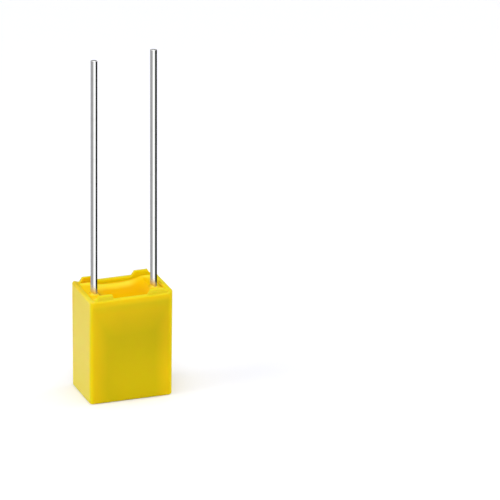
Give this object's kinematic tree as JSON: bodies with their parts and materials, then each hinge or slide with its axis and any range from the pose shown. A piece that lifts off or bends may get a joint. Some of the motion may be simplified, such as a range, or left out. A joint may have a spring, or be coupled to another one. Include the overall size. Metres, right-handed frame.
{
  "type": "polypropylene film capacitor",
  "caption": "Small potted box film capacitor: a moulded case with stand-offs round its open end, a wound film element inside and straight tinned wire leads.",
  "frame": {"origin": "middle of the flat face of the case's closed end", "axes": "+Z from the closed end along the leads, X through both leads, Y through the thickness of the case"},
  "size_m": [0.0072, 0.0048, 0.0297],
  "materials": {
    "case_plastic": "moulded yellow plastic, satin",
    "potting_resin": "cast yellow-orange resin, glossy",
    "metallised_film": "metallised film, smooth",
    "sprayed_metal": "sprayed metal, rough",
    "tinned_wire": "bright tinned wire"
  },
  "bodies": {
    "root": {"case": "case_plastic", "potting_resin": "potting_resin", "film_winding": "metallised_film", "left_end_contact": "sprayed_metal", "right_end_contact": "sprayed_metal", "left_lead": "tinned_wire", "right_lead": "tinned_wire"}
  },
  "joints": []
}
